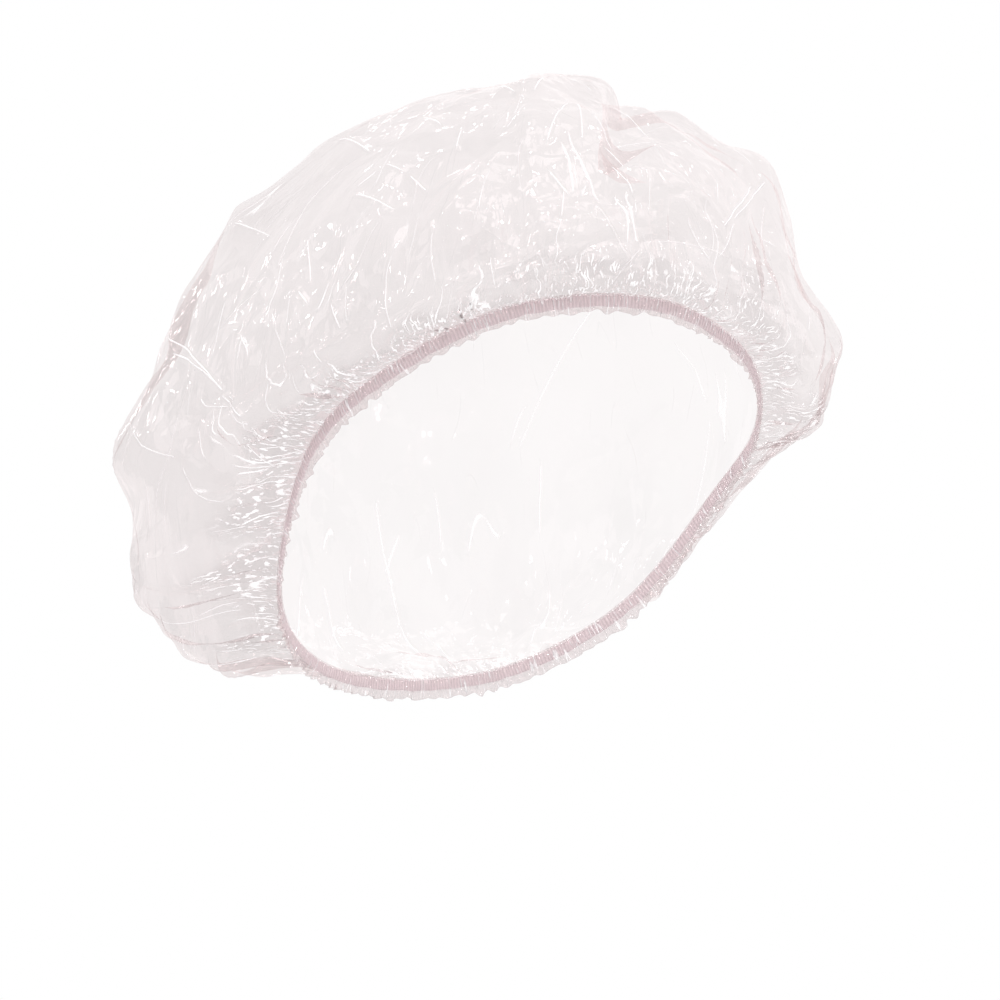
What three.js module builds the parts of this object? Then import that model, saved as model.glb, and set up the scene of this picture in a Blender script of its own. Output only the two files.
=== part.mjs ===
// A disposable bouffant shower cap, as it stands when worn: a clear film bag gathered onto an elastic loop.
// Millimetres, +Z up. The face side is -Y and the wearer's right is -X.
// The origin is the centre of the head opening, where the head holds the cap.
import * as THREE from 'three';

// Driving sizes
const WALL = 1.0; // film wall, far thicker than the real film so that it can be a solid
const GAP = 0.3; // clearance between separate pieces
const AROUND = 84; // columns of facets round the head
const LOW_RINGS = 7; // rings of facets from the hem to the widest line
const TOP_RINGS = 11; // rings of facets from the widest line to the middle of the crown

// The elastic is a flat strip standing on edge against the head.
const ELASTIC_THICK = 0.8;
const ELASTIC_WIDE = 3.6;

// The hem is the film's edge folded over the elastic, with a short frill beyond the fold.
const HEM_SLOT = 1.2; // gap along the inside where the folded film isn't joined
const FRILL_DEEP = 2.4;
const FRILL_WAVE = 0.6; // how far the frill ripples in and out

// The film leaves the hem in small pleats that die out towards the bulge.
const PLEATS = 28;
const PLEAT_HIGH = 1.5;
const PLEAT_REACH = 0.3; // share of the way to the crown middle at which they are gone

const CROWN_MIDDLE = new THREE.Vector3(2, 2, 134.5);
const BAG_CENTRE = new THREE.Vector3(0, 16, 36); // folds push straight out from here

const SLOPE_STEP = 0.2; // share of a facet over which the surface's slope is measured
const LOW_OUT = 0.9; // power of the sine that carries the underside outwards: 1 gives a quarter ellipse

// One row for each upright section, every 30 degrees from the face round by the wearer's right.
// rim, rimZ: the elastic's distance from the upright axis, and its height.
// bulge, bulgeZ: the same for the bag's widest line.
// sag: how far the underside hangs below its curve.
// square: how sharply the underside turns up, 1 being a quarter ellipse.
const SECTIONS = [
  { at: 0, rim: 84, rimZ: 60, bulge: 97, bulgeZ: 84, sag: 0, square: 1.3 },
  { at: 30, rim: 81, rimZ: 58, bulge: 100, bulgeZ: 74, sag: 0, square: 1.3 },
  { at: 60, rim: 77, rimZ: 40, bulge: 104, bulgeZ: 54, sag: 2, square: 1.4 },
  { at: 90, rim: 75, rimZ: 15, bulge: 110, bulgeZ: 32, sag: 2, square: 1.6 },
  { at: 120, rim: 76, rimZ: -29, bulge: 122, bulgeZ: 13, sag: 0, square: 2.8 },
  { at: 150, rim: 76, rimZ: -53, bulge: 132, bulgeZ: 3, sag: 0, square: 3 },
  { at: 180, rim: 74, rimZ: -61, bulge: 137, bulgeZ: 1, sag: 0, square: 2.7 },
  { at: 210, rim: 75, rimZ: -56, bulge: 132, bulgeZ: 5, sag: 0, square: 2.4 },
  { at: 240, rim: 75, rimZ: -34, bulge: 119, bulgeZ: 14, sag: 0, square: 1.8 },
  { at: 270, rim: 75, rimZ: 2, bulge: 106, bulgeZ: 36, sag: -6, square: 1.5 },
  { at: 300, rim: 77, rimZ: 25, bulge: 100, bulgeZ: 46, sag: 4, square: 1.4 },
  { at: 330, rim: 81, rimZ: 46, bulge: 96, bulgeZ: 67, sag: 2, square: 1.3 },
];

// The main folds and dents. Each runs from one place to another, given as degrees round from the face
// and the share of the way from hem to crown middle. out: mm, + a ridge, - a dent. wide: mm to each side.
const FOLDS = [
  { name: 'rear_corner', from: [108, 0.42], to: [134, 0.44], out: 8, wide: 13 },
  { name: 'rear_waist', from: [106, 0.32], to: [156, 0.3], out: -5, wide: 9 },
  { name: 'rear_low_corner', from: [112, 0.22], to: [162, 0.22], out: 12, wide: 14 },
  { name: 'side_ridge', from: [84, 0.2], to: [114, 0.48], out: 4, wide: 9 },
  { name: 'rear_top_flat', from: [104, 0.5], to: [122, 0.66], out: -3, wide: 16 },
  { name: 'rear_top_corner', from: [100, 0.66], to: [118, 0.7], out: 3, wide: 8 },
  { name: 'crown_ridge', from: [30, 0.84], to: [300, 0.95], out: 4, wide: 10 },
  { name: 'crown_notch', from: [328, 0.84], to: [308, 0.74], out: -6, wide: 9 },
  { name: 'left_top_corner', from: [316, 0.64], to: [290, 0.62], out: 6, wide: 12 },
  { name: 'left_corner', from: [306, 0.4], to: [284, 0.4], out: 4, wide: 11 },
  { name: 'left_flat', from: [312, 0.5], to: [284, 0.5], out: -4, wide: 10 },
  { name: 'front_dent', from: [24, 0.55], to: [44, 0.62], out: -4, wide: 15 },
  { name: 'side_dent', from: [66, 0.5], to: [88, 0.58], out: -4, wide: 16 },
  { name: 'back_ridge', from: [176, 0.3], to: [190, 0.8], out: 4, wide: 13 },
  { name: 'back_dent', from: [204, 0.45], to: [222, 0.6], out: -4, wide: 16 },
  { name: 'left_back_ridge', from: [240, 0.3], to: [262, 0.7], out: 4, wide: 12 },
];

const QUARTER = Math.PI / 2;

/** The point at a distance from the upright axis and a height, in the direction of an angle from the face. */
function around(degrees, distance, height) {
  const angle = THREE.MathUtils.degToRad(degrees);
  return new THREE.Vector3(-distance * Math.sin(angle), -distance * Math.cos(angle), height);
}

/** A smooth closed curve through one point for each section. */
function throughSections(toPoint) {
  return new THREE.CatmullRomCurve3(SECTIONS.map(toPoint), true);
}

const rimLine = throughSections((row) => around(row.at, row.rim, row.rimZ));
const bulgeLine = throughSections((row) => around(row.at, row.bulge, row.bulgeZ));
const undersideLine = throughSections((row) => new THREE.Vector3(row.sag, row.square, 0));

/** The head opening's own directions at a turn from 0 to 1: out from the head, and up along it. */
function rimFrame(turn) {
  const centre = rimLine.getPoint(turn);
  const along = rimLine.getTangent(turn);
  const out = new THREE.Vector3(centre.x, centre.y, 0).normalize();
  out.addScaledVector(along, -out.dot(along)).normalize();
  const up = new THREE.Vector3().crossVectors(out, along);
  return { centre, out, up: up.z < 0 ? up.negate() : up };
}

/** A place on the strip, hem or film edge, measured out from and up along the head at the elastic. */
function rimPoint(turn, out, up) {
  const frame = rimFrame(turn);
  return frame.centre.clone().addScaledVector(frame.out, out).addScaledVector(frame.up, up);
}

const HEM_INSIDE = { out: ELASTIC_THICK / 2 + GAP, up: ELASTIC_WIDE / 2 + GAP };
const HEM_OUTSIDE = { out: HEM_INSIDE.out + WALL, up: HEM_INSIDE.up + WALL };

const LOW_SHARE = LOW_RINGS / (LOW_RINGS + TOP_RINGS); // share of the bag's rings under its widest line

/** The bag's smooth outer surface. share runs from 0 at the hem to 1 at the middle of the crown. */
function smoothBag(turn, share) {
  const bulge = bulgeLine.getPoint(turn);
  if (share < LOW_SHARE) {
    const swing = (share / LOW_SHARE) * QUARTER;
    const edge = rimPoint(turn, HEM_OUTSIDE.out, HEM_OUTSIDE.up + GAP);
    const underside = undersideLine.getPoint(turn);
    const outward = Math.sin(swing) ** LOW_OUT;
    const upward = (1 - Math.cos(swing)) ** underside.y;
    const point = edge.clone().lerp(bulge, outward);
    const sag = underside.x * Math.sin(2 * swing) ** 2;
    return point.setZ(edge.z + (bulge.z - edge.z) * upward - sag);
  }
  const swing = ((share - LOW_SHARE) / (1 - LOW_SHARE)) * QUARTER;
  const point = bulge.clone().lerp(CROWN_MIDDLE, 1 - Math.cos(swing));
  return point.setZ(bulge.z + (CROWN_MIDDLE.z - bulge.z) * Math.sin(swing));
}

const foldLines = FOLDS.map((fold) => {
  const [start, end] = [fold.from, fold.to].map(([degrees, share]) => smoothBag(degrees / 360, share));
  return { line: new THREE.Line3(start, end), out: fold.out, wide: fold.wide };
});

/** The bag's outer surface with its folds, dents and hem pleats. */
function bagPoint(turn, share) {
  const point = smoothBag(turn, share);
  const push = point.clone().sub(BAG_CENTRE).normalize();
  const nearest = new THREE.Vector3();
  let rise = 0;
  for (const fold of foldLines) {
    fold.line.closestPointToPoint(point, true, nearest);
    rise += fold.out * Math.exp(-((nearest.distanceTo(point) / fold.wide) ** 2));
  }
  const fade = Math.sin(Math.min(share / PLEAT_REACH, 1) * Math.PI);
  const pleat = PLEAT_HIGH * fade * Math.cos(turn * PLEATS * 2 * Math.PI);
  return point.addScaledVector(push, rise * Math.min(share / LOW_SHARE, 1) + pleat);
}

/** Sweeps a section once round the head: a lathed ring or bag whose points are then put in their places. */
function sweep(section, place) {
  const geometry = new THREE.LatheGeometry(section, AROUND);
  const position = geometry.attributes.position;
  for (let column = 0; column <= AROUND; column += 1) {
    const turn = (column % AROUND) / AROUND;
    for (let row = 0; row < section.length; row += 1) {
      const point = place(turn, row, column);
      position.setXYZ(column * section.length + row, point.x, point.y, point.z);
    }
  }
  geometry.computeVertexNormals();
  return geometry;
}

/** The bag as a wall: its outer surface down from the crown to the hem, and its inner surface back up. */
function filmBag() {
  const rings = LOW_RINGS + TOP_RINGS;
  const step = SLOPE_STEP / rings;
  const columnStep = SLOPE_STEP / AROUND;
  const inner = (turn, share) => {
    const point = bagPoint(turn, share);
    if (share === 1) {
      return point.setZ(point.z - WALL);
    }
    const low = Math.max(share - step, 0);
    const alongShare = bagPoint(turn, Math.min(share + step, 1)).sub(bagPoint(turn, low));
    const before = bagPoint((turn - columnStep + 1) % 1, share);
    const alongTurn = bagPoint((turn + columnStep) % 1, share).sub(before);
    const normal = alongShare.cross(alongTurn).normalize();
    return point.addScaledVector(normal, -WALL);
  };
  const outline = [];
  for (let ring = rings; ring >= 0; ring -= 1) {
    outline.push({ share: ring / rings, surface: bagPoint });
  }
  for (let ring = 0; ring <= rings; ring += 1) {
    outline.push({ share: ring / rings, surface: inner });
  }
  const section = outline.map(({ share }) => new THREE.Vector2(1 - share, share));
  return sweep(section, (turn, row) => outline[row].surface(turn, outline[row].share));
}

/** The hem: a folded channel, open along the head by a narrow slot, with a rippled frill under it. */
function hemFold() {
  const frillEnd = -HEM_OUTSIDE.up - FRILL_DEEP;
  const outline = [
    [-HEM_INSIDE.out, HEM_SLOT / 2],
    [-HEM_OUTSIDE.out, HEM_SLOT / 2],
    [-HEM_OUTSIDE.out, HEM_OUTSIDE.up],
    [HEM_OUTSIDE.out, HEM_OUTSIDE.up],
    [HEM_OUTSIDE.out, -HEM_OUTSIDE.up],
    [WALL / 2, -HEM_OUTSIDE.up],
    [WALL / 2, frillEnd],
    [-WALL / 2, frillEnd],
    [-WALL / 2, -HEM_OUTSIDE.up],
    [-HEM_OUTSIDE.out, -HEM_OUTSIDE.up],
    [-HEM_OUTSIDE.out, -HEM_SLOT / 2],
    [-HEM_INSIDE.out, -HEM_SLOT / 2],
    [-HEM_INSIDE.out, -HEM_INSIDE.up],
    [HEM_INSIDE.out, -HEM_INSIDE.up],
    [HEM_INSIDE.out, HEM_INSIDE.up],
    [-HEM_INSIDE.out, HEM_INSIDE.up],
    [-HEM_INSIDE.out, HEM_SLOT / 2],
  ];
  const section = outline.map(([out, up]) => new THREE.Vector2(out, up));
  return sweep(section, (turn, row, column) => {
    const [out, up] = outline[row];
    const ripple = up === frillEnd ? FRILL_WAVE * (column % 2 === 0 ? 1 : -1) : 0;
    return rimPoint(turn, out + ripple, up);
  });
}

/** The elastic: a flat strip joined into one loop. */
function elasticLoop() {
  const [thick, wide] = [ELASTIC_THICK / 2, ELASTIC_WIDE / 2];
  const outline = [[-thick, -wide], [-thick, wide], [thick, wide], [thick, -wide], [-thick, -wide]];
  const section = outline.map(([out, up]) => new THREE.Vector2(out, up));
  return sweep(section, (turn, row) => rimPoint(turn, outline[row][0], outline[row][1]));
}

function piece(name, geometry, color, roughness) {
  const material = new THREE.MeshStandardMaterial({ color, roughness, metalness: 0 });
  const mesh = new THREE.Mesh(geometry, material);
  mesh.name = name;
  return mesh;
}

const group = new THREE.Group();
group.add(piece('film_bag', filmBag(), 0xf2ebeb, 0.12));
group.add(piece('hem_fold', hemFold(), 0xe6dadb, 0.2));
group.add(piece('elastic_loop', elasticLoop(), 0xb29b9e, 0.7));

export default group;
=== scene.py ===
"""A clear film bouffant shower cap in its worn shape, with its hem, elastic, stage and camera."""
import math

import bmesh
import bpy
import numpy as np
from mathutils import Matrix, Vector
from mathutils.bvhtree import BVHTree
from mathutils.geometry import delaunay_2d_cdt


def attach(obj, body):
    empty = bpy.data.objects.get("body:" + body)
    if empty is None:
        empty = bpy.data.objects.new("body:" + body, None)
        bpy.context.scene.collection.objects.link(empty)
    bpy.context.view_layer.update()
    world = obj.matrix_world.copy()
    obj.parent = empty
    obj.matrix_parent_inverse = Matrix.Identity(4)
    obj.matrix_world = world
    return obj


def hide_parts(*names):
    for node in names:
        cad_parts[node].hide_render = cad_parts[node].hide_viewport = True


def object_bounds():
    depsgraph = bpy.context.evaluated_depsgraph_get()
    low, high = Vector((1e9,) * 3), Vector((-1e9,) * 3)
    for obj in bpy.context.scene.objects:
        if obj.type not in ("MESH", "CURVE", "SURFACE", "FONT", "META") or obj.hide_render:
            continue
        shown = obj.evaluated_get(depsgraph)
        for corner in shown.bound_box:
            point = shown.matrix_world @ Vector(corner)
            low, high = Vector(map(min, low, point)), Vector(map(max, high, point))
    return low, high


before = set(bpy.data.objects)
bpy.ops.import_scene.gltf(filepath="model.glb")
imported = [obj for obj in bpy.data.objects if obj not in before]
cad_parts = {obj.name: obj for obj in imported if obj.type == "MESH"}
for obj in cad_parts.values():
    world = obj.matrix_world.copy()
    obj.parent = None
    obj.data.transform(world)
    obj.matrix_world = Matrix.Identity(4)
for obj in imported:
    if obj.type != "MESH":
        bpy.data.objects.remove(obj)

CAD_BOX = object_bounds()

bl_info = {
    "name": "Bouffant Shower Cap",
    "version": (1, 0, 0),
    "blender": (4, 5, 0),
    "location": "View3D > Sidebar > Shower Cap",
    "description": "Makes a clear film shower cap with a gathered hem, its elastic and a plain stage",
    "category": "Add Mesh",
}

MM = 0.001
BODY = "root"
FLAT_MAP = "flat_film"
WORN_MAP = "worn_film"

# One row for each upright section, every 30 degrees from the face round by the wearer's right, in mm.
# rim, rim_z: the elastic's distance from the upright axis, and its height.
# bulge, bulge_z: the same for the bag's widest line.
# sag: how far the underside hangs below its curve. square: how sharply it turns up.
SECTION_COLUMNS = ("rim", "rim_z", "bulge", "bulge_z", "sag", "square")
SECTIONS = np.array([
    (84, 60, 97, 84, 0, 1.3),
    (81, 58, 100, 74, 0, 1.3),
    (77, 40, 104, 54, 2, 1.4),
    (75, 15, 110, 32, 2, 1.6),
    (76, -29, 126, 14, 5, 2.6),
    (76, -53, 134, 5, 3, 2.8),
    (74, -61, 137, 2, 0, 2.6),
    (75, -56, 132, 5, 0, 2.4),
    (75, -34, 119, 14, 0, 1.8),
    (75, 2, 109, 36, -6, 1.5),
    (77, 25, 104, 46, 3, 1.4),
    (81, 46, 99, 67, 2, 1.3),
], dtype=float)
CROWN_MIDDLE = np.array((2.0, 2.0, 134.5))
BAG_CENTRE = np.array((0.0, 16.0, 36.0))
LOW_SHARE = 0.39  # the share of the way up where the bag is widest
LOW_OUT = 0.9  # how quickly the underside runs outwards
BAG_EDGE = (0.5, 1.6)  # where the bag's edge lies in the hem: mm out, mm up

# Main folds and dents: degrees round and share up at each end, height out and half width in mm.
FOLD_COLUMNS = ("from_deg", "from_up", "to_deg", "to_up", "out", "wide")
FOLDS = (
    (106, 0.39, 132, 0.40, 8, 14),
    (102, 0.46, 122, 0.50, -2, 9),
    (106, 0.31, 150, 0.30, -1, 8),
    (112, 0.20, 160, 0.21, 15, 13),
    (114, 0.23, 124, 0.24, 5, 8),
    (112, 0.29, 119, 0.33, 3, 7),
    (84, 0.20, 114, 0.48, 4, 8),
    (114, 0.49, 121, 0.59, -7, 11),
    (100, 0.63, 116, 0.68, 3, 8),
    (30, 0.84, 300, 0.95, 4, 10),
    (352, 0.86, 300, 0.91, 1.5, 8),
    (300, 0.91, 250, 0.87, 1.5, 8),
    (349, 0.80, 300, 0.86, -6, 5),
    (300, 0.86, 251, 0.80, -6, 5),
    (345, 0.78, 300, 0.84, -8, 8),
    (300, 0.84, 255, 0.78, -8, 8),
    (318, 0.66, 288, 0.64, 7, 13),
    (306, 0.40, 284, 0.40, 4, 11),
    (312, 0.50, 284, 0.50, -4, 10),
    (24, 0.55, 44, 0.62, -4, 15),
    (66, 0.50, 88, 0.58, -4, 16),
    (176, 0.30, 190, 0.80, 4, 13),
    (204, 0.45, 222, 0.60, -4, 16),
    (240, 0.30, 262, 0.70, 4, 12),
)


# ---------------------------------------------------------------- shape of the cap

def named_rows(columns, table):
    return [dict(zip(columns, row)) for row in table]


def through_sections(turn, rows):
    """Smooth closed curve through one row for each section; turn runs from 0 to 1 round the head."""
    count = len(rows)
    place = np.mod(turn, 1.0) * count
    start = np.floor(place).astype(int)
    t = (place - start)[:, None]
    p0, p1, p2, p3 = (rows[(start + step) % count] for step in (-1, 0, 1, 2))
    return 0.5 * (2 * p1 + (p2 - p0) * t + (2 * p0 - 5 * p1 + 4 * p2 - p3) * t**2
                  + (3 * p1 - p0 - 3 * p2 + p3) * t**3)


def section_points(distance, height):
    """The sections' points at a distance from the upright axis and a height."""
    angle = np.arange(len(distance)) * 2 * math.pi / len(distance)
    return np.stack([-distance * np.sin(angle), -distance * np.cos(angle), height], axis=1)


COLUMN = {name: SECTIONS[:, k] for k, name in enumerate(SECTION_COLUMNS)}
RIM_POINTS = section_points(COLUMN["rim"], COLUMN["rim_z"])
BULGE_POINTS = section_points(COLUMN["bulge"], COLUMN["bulge_z"])
UNDERSIDE = np.stack([COLUMN["sag"], COLUMN["square"]], axis=1)


def unit(vectors):
    return vectors / np.maximum(np.linalg.norm(vectors, axis=-1, keepdims=True), 1e-12)


def rim_point(turn, out, up):
    """A place at the head opening, in mm out from the elastic's middle and up along the head."""
    step = 1e-4
    centre = through_sections(turn, RIM_POINTS)
    along = unit(through_sections(turn + step, RIM_POINTS)
                 - through_sections(turn - step, RIM_POINTS))
    outward = unit(centre * (1, 1, 0))
    outward = unit(outward - along * np.sum(outward * along, axis=1, keepdims=True))
    upward = np.cross(outward, along)
    upward *= np.where(upward[:, 2:] < 0, -1, 1)
    return centre + outward * np.reshape(out, (-1, 1)) + upward * np.reshape(up, (-1, 1))


def smooth_bag(turn, share):
    """The bag's smooth surface in mm; share runs from 0 at the hem to 1 at the crown."""
    bulge = through_sections(turn, BULGE_POINTS)
    edge = rim_point(turn, *BAG_EDGE)
    sag, square = through_sections(turn, UNDERSIDE).T
    low = np.minimum(share / LOW_SHARE, 1) * math.pi / 2
    outward = np.sin(low)[:, None] ** LOW_OUT
    upward = (1 - np.cos(low)) ** square
    under = edge + (bulge - edge) * outward
    under[:, 2] = edge[:, 2] + (bulge[:, 2] - edge[:, 2]) * upward - sag * np.sin(2 * low) ** 2
    high = np.clip((share - LOW_SHARE) / (1 - LOW_SHARE), 0, 1) * math.pi / 2
    over = bulge + (CROWN_MIDDLE - bulge) * (1 - np.cos(high))[:, None]
    over[:, 2] = bulge[:, 2] + (CROWN_MIDDLE[2] - bulge[:, 2]) * np.sin(high)
    return np.where((share < LOW_SHARE)[:, None], under, over)


def worn_reach(turn, share):
    """How far each place is from the hem along the worn bag, in mm, read from a coarser grid."""
    turns, shares = 180, 200
    ring, rise = np.meshgrid(np.arange(turns + 1) / turns, np.arange(shares + 1) / shares,
                             indexing="ij")
    points = smooth_bag(ring.ravel(), rise.ravel()).reshape(turns + 1, shares + 1, 3)
    steps = np.linalg.norm(np.diff(points, axis=1), axis=2)
    length = np.concatenate([np.zeros((turns + 1, 1)), np.cumsum(steps, axis=1)], axis=1)
    row, column = turn * turns, share * shares
    i = np.minimum(row.astype(int), turns - 1)
    j = np.minimum(column.astype(int), shares - 1)
    a, b = row - i, column - j
    return ((length[i, j] * (1 - b) + length[i, j + 1] * b) * (1 - a)
            + (length[i + 1, j] * (1 - b) + length[i + 1, j + 1] * b) * a)


def segment_distance(points, start, end):
    """How far each point is from a straight line between two places."""
    span = end - start
    along = np.clip((points - start) @ span / max(span @ span, 1e-9), 0, 1)
    return np.linalg.norm(points - start - along[:, None] * span, axis=1)


def fold_rise(points, share):
    """How far the main folds and dents lift each point, in mm."""
    rise = np.zeros(len(points))
    for fold in named_rows(FOLD_COLUMNS, FOLDS):
        ends = smooth_bag(np.array([fold["from_deg"], fold["to_deg"]]) / 360,
                          np.array([fold["from_up"], fold["to_up"]]))
        rise += fold["out"] * np.exp(-(segment_distance(points, *ends) / fold["wide"]) ** 2)
    return rise * np.minimum(share / LOW_SHARE, 1)


KNOT_STRAY = 0.42  # how far a crease's end strays from its even place, in spacings


def crease_net(flat, spacing, high, seed, reach):
    """A sheet creased along straight lines between random points of random height.

    Returns the height at each place in mm, and the creases as (start, end, change of slope) rows."""
    rng = np.random.default_rng(seed)
    steps = int(2 * reach / spacing) + 4
    axis = (np.arange(steps) - (steps - 1) / 2) * spacing
    knots = np.stack(np.meshgrid(axis, axis), axis=-1).reshape(-1, 2)
    knots[:, 0] += spacing / 2 * (np.arange(len(knots)) // steps % 2)
    knots += rng.uniform(-KNOT_STRAY, KNOT_STRAY, knots.shape) * spacing
    rise = rng.normal(0, high, len(knots))
    net = delaunay_2d_cdt([Vector(knot) for knot in knots], [], [], 0, 1e-6)
    corners = np.array([(corner.x, corner.y, rise[origin[0]])
                        for corner, origin in zip(net[0], net[3])])
    tree = BVHTree.FromPolygons([Vector(corner) for corner in corners], net[2])
    above = 1000.0
    down = Vector((0, 0, -1))
    heights = np.array([above - tree.ray_cast(Vector((x, y, above)), down)[3] for x, y in flat])
    sides = {}
    for face in net[2]:
        normal = np.cross(*(corners[list(face)][1:] - corners[face[0]]))
        slope = -normal[:2] / normal[2]
        for first, second in zip(face, face[1:] + face[:1]):
            sides.setdefault((min(first, second), max(first, second)), []).append(slope)
    creases = [(corners[first, :2], corners[second, :2],
                float(np.linalg.norm(pair[0] - pair[1])))
               for (first, second), pair in sides.items() if len(pair) == 2]
    return heights, creases


def sharpest(creases, layer):
    """The creases of a layer that get a line, with their strengths."""
    creases = sorted(creases, key=lambda crease: -crease[2])
    top = creases[0][2]
    return [(start, end, layer["lines"] * bend / top)
            for start, end, bend in creases[:int(len(creases) * layer["shown"])]]


HALVES = {"a": 0, "b": 3}  # the creases' channels go to the material in threes


class CreaseLines:
    """Straight creases held on the mesh as distances in mm, in channels that keep them apart."""
    CHANNELS = 6
    REACH = 2.2  # how far from a crease its distance still counts
    CELL = 2.2  # the size of the mesh's cells
    RIDGE = 2.6  # how wide a ridge is

    def __init__(self, count):
        self.side = np.full((count, self.CHANNELS), self.REACH)
        self.strength = np.zeros((count, self.CHANNELS))
        self.used = np.zeros((count, self.CHANNELS), dtype=bool)
        self.ridge = np.zeros(count)

    def add(self, places, start, end, strength, high=0.0):
        """Adds a crease, with a ridge of a height in mm, in the first channel free all along it."""
        span = end - start
        length = math.hypot(*span)
        away = places - start
        along = away @ span / length**2
        distance = (away[:, 0] * span[1] - away[:, 1] * span[0]) / length
        aside = np.abs(distance)
        # the ends fade over 4 mm, or over two fifths of a short crease
        taper = np.clip(np.minimum(along, 1 - along) * max(length / 4, 2.5), 0, 1)
        part = taper * np.clip((self.REACH - aside) / (self.REACH / 2), 0, 1)
        near = ((aside < self.REACH + self.CELL) & (along * length > -self.CELL)
                & (along * length < length + self.CELL))
        self.ridge += (high * np.sin(math.pi * np.clip(along, 0, 1))
                       * np.exp(-aside / self.RIDGE))
        for channel in range(self.CHANNELS):
            if not self.used[near, channel].any():
                self.used[near, channel] = True
                self.side[near, channel] = distance[near]
                self.strength[near, channel] = part[near] * strength
                return


def wander(turn, seed, waves, size):
    """A smooth closed random curve round the head, about plus or minus size."""
    rng = np.random.default_rng(seed)
    total = np.zeros(len(turn))
    for k in range(1, waves + 1):
        total += rng.normal() * np.sin(2 * math.pi * (k * turn + rng.random()))
    return total * size / math.sqrt(waves / 2)


def sharp_wave(phase):
    """A wave with crests sharper than its hollows, from -1 to 1."""
    return 1 - 2 * np.abs(np.sin(math.pi * phase))


# Pleats near the hem: count round the head, height, and the reach where they start and end, in mm.
PLEAT_COLUMNS = ("count", "high", "start", "end")
PLEATS = (
    (118, 0.45, 0, 10),
    (58, 1.1, 2, 22),
    (27, 1.5, 8, 48),
)


def pleat_rise(turn, reach):
    """The gathers: many small pleats at the hem that join into fewer, longer ones further up."""
    rise = np.zeros(len(turn))
    for k, pleat in enumerate(named_rows(PLEAT_COLUMNS, PLEATS)):
        phase = turn * pleat["count"] + wander(turn, 40 + k, 24, 0.5)
        strength = np.clip(1 + wander(turn, 60 + k, 30, 0.45), 0.2, 1.5)
        length = (pleat["end"] - pleat["start"]) * (1 + wander(turn, 80 + k, 40, 0.3))
        window = np.clip((reach - pleat["start"]) / np.maximum(length, 4), 0, 1)
        rise += pleat["high"] * strength * np.sin(math.pi * window) * sharp_wave(phase)
    return rise


# ---------------------------------------------------------------- meshes

MERGE = 1e-6  # vertices this near, in m, become one


def grid_object(name, columns, rows):
    """A flat grid of quads with x and y from -1 to 1, ready to be put in its place."""
    bm = bmesh.new()
    bmesh.ops.create_grid(bm, x_segments=columns, y_segments=rows, size=1.0)
    mesh = bpy.data.meshes.new(name)
    bm.to_mesh(mesh)
    bm.free()
    obj = bpy.data.objects.new(name, mesh)
    bpy.context.scene.collection.objects.link(obj)
    return obj


def read_points(mesh):
    points = np.empty(len(mesh.vertices) * 3)
    mesh.vertices.foreach_get("co", points)
    return points.reshape(-1, 3)


def write_points(mesh, points):
    mesh.vertices.foreach_set("co", np.ascontiguousarray(points, dtype=np.float32).ravel())
    mesh.update()


def read_normals(mesh):
    normals = np.empty(len(mesh.vertices) * 3)
    mesh.vertex_normals.foreach_get("vector", normals)
    return normals.reshape(-1, 3)


def set_uv(mesh, flat, name=FLAT_MAP, period=None):
    """Gives the mesh a UV map in metres. Where it starts again, no face spans the jump."""
    layer = mesh.uv_layers.new(name=name)
    loops = np.empty(len(mesh.loops), dtype=np.int32)
    mesh.loops.foreach_get("vertex_index", loops)
    places = flat[loops]
    if period:
        face = np.repeat(np.arange(len(mesh.polygons)),
                         [len(polygon.vertices) for polygon in mesh.polygons])
        highest = np.full(len(mesh.polygons), -np.inf)
        np.maximum.at(highest, face, places[:, 0])
        places[highest[face] - places[:, 0] > period / 2, 0] += period
    layer.data.foreach_set("uv", np.ascontiguousarray(places, dtype=np.float32).ravel())


def set_vectors(mesh, name, values):
    layer = mesh.attributes.new(name=name, type="FLOAT_VECTOR", domain="POINT")
    layer.data.foreach_set("vector", np.ascontiguousarray(values, dtype=np.float32).ravel())


def finish_mesh(obj, outward_from):
    """Closes the seam, turns the faces outwards and shades them smooth."""
    mesh = obj.data
    bm = bmesh.new()
    bm.from_mesh(mesh)
    bmesh.ops.remove_doubles(bm, verts=bm.verts, dist=MERGE)
    bmesh.ops.dissolve_degenerate(bm, edges=bm.edges, dist=MERGE / 10)
    bmesh.ops.recalc_face_normals(bm, faces=bm.faces)
    sample = max(bm.faces, key=lambda face: face.calc_center_median().z)
    if sample.normal.dot(sample.calc_center_median() - Vector(outward_from)) < 0:
        bmesh.ops.reverse_faces(bm, faces=bm.faces)
    bm.to_mesh(mesh)
    bm.free()
    mesh.shade_smooth()


def disc_from_square(square):
    """Maps a square grid onto a disc with no pole and no squashed corners."""
    x, y = square[:, 0], square[:, 1]
    wide = np.abs(x) > np.abs(y)
    reach = np.where(wide, x, y)
    lean = math.pi / 4 * np.where(wide, y, x) / np.where(reach == 0, 1, reach)
    angle = np.where(wide, lean, math.pi / 2 - lean)
    return np.stack([reach * np.cos(angle), reach * np.sin(angle)], axis=1)


def turn_of(disc):
    """The turn round the head, from 0 to 1, of a place on the flat disc."""
    return np.mod(np.arctan2(-disc[:, 0], -disc[:, 1]) / (2 * math.pi), 1.0)


# ---------------------------------------------------------------- materials

def add_node(tree, kind, inputs=(), **settings):
    """Adds a node, sets its attributes and fills or links its inputs."""
    node = tree.nodes.new(kind)
    for name, value in settings.items():
        setattr(node, name, value)
    for name, value in dict(inputs).items():
        if isinstance(value, bpy.types.NodeSocket):
            tree.links.new(value, node.inputs[name])
        else:
            node.inputs[name].default_value = value
    return node


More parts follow.
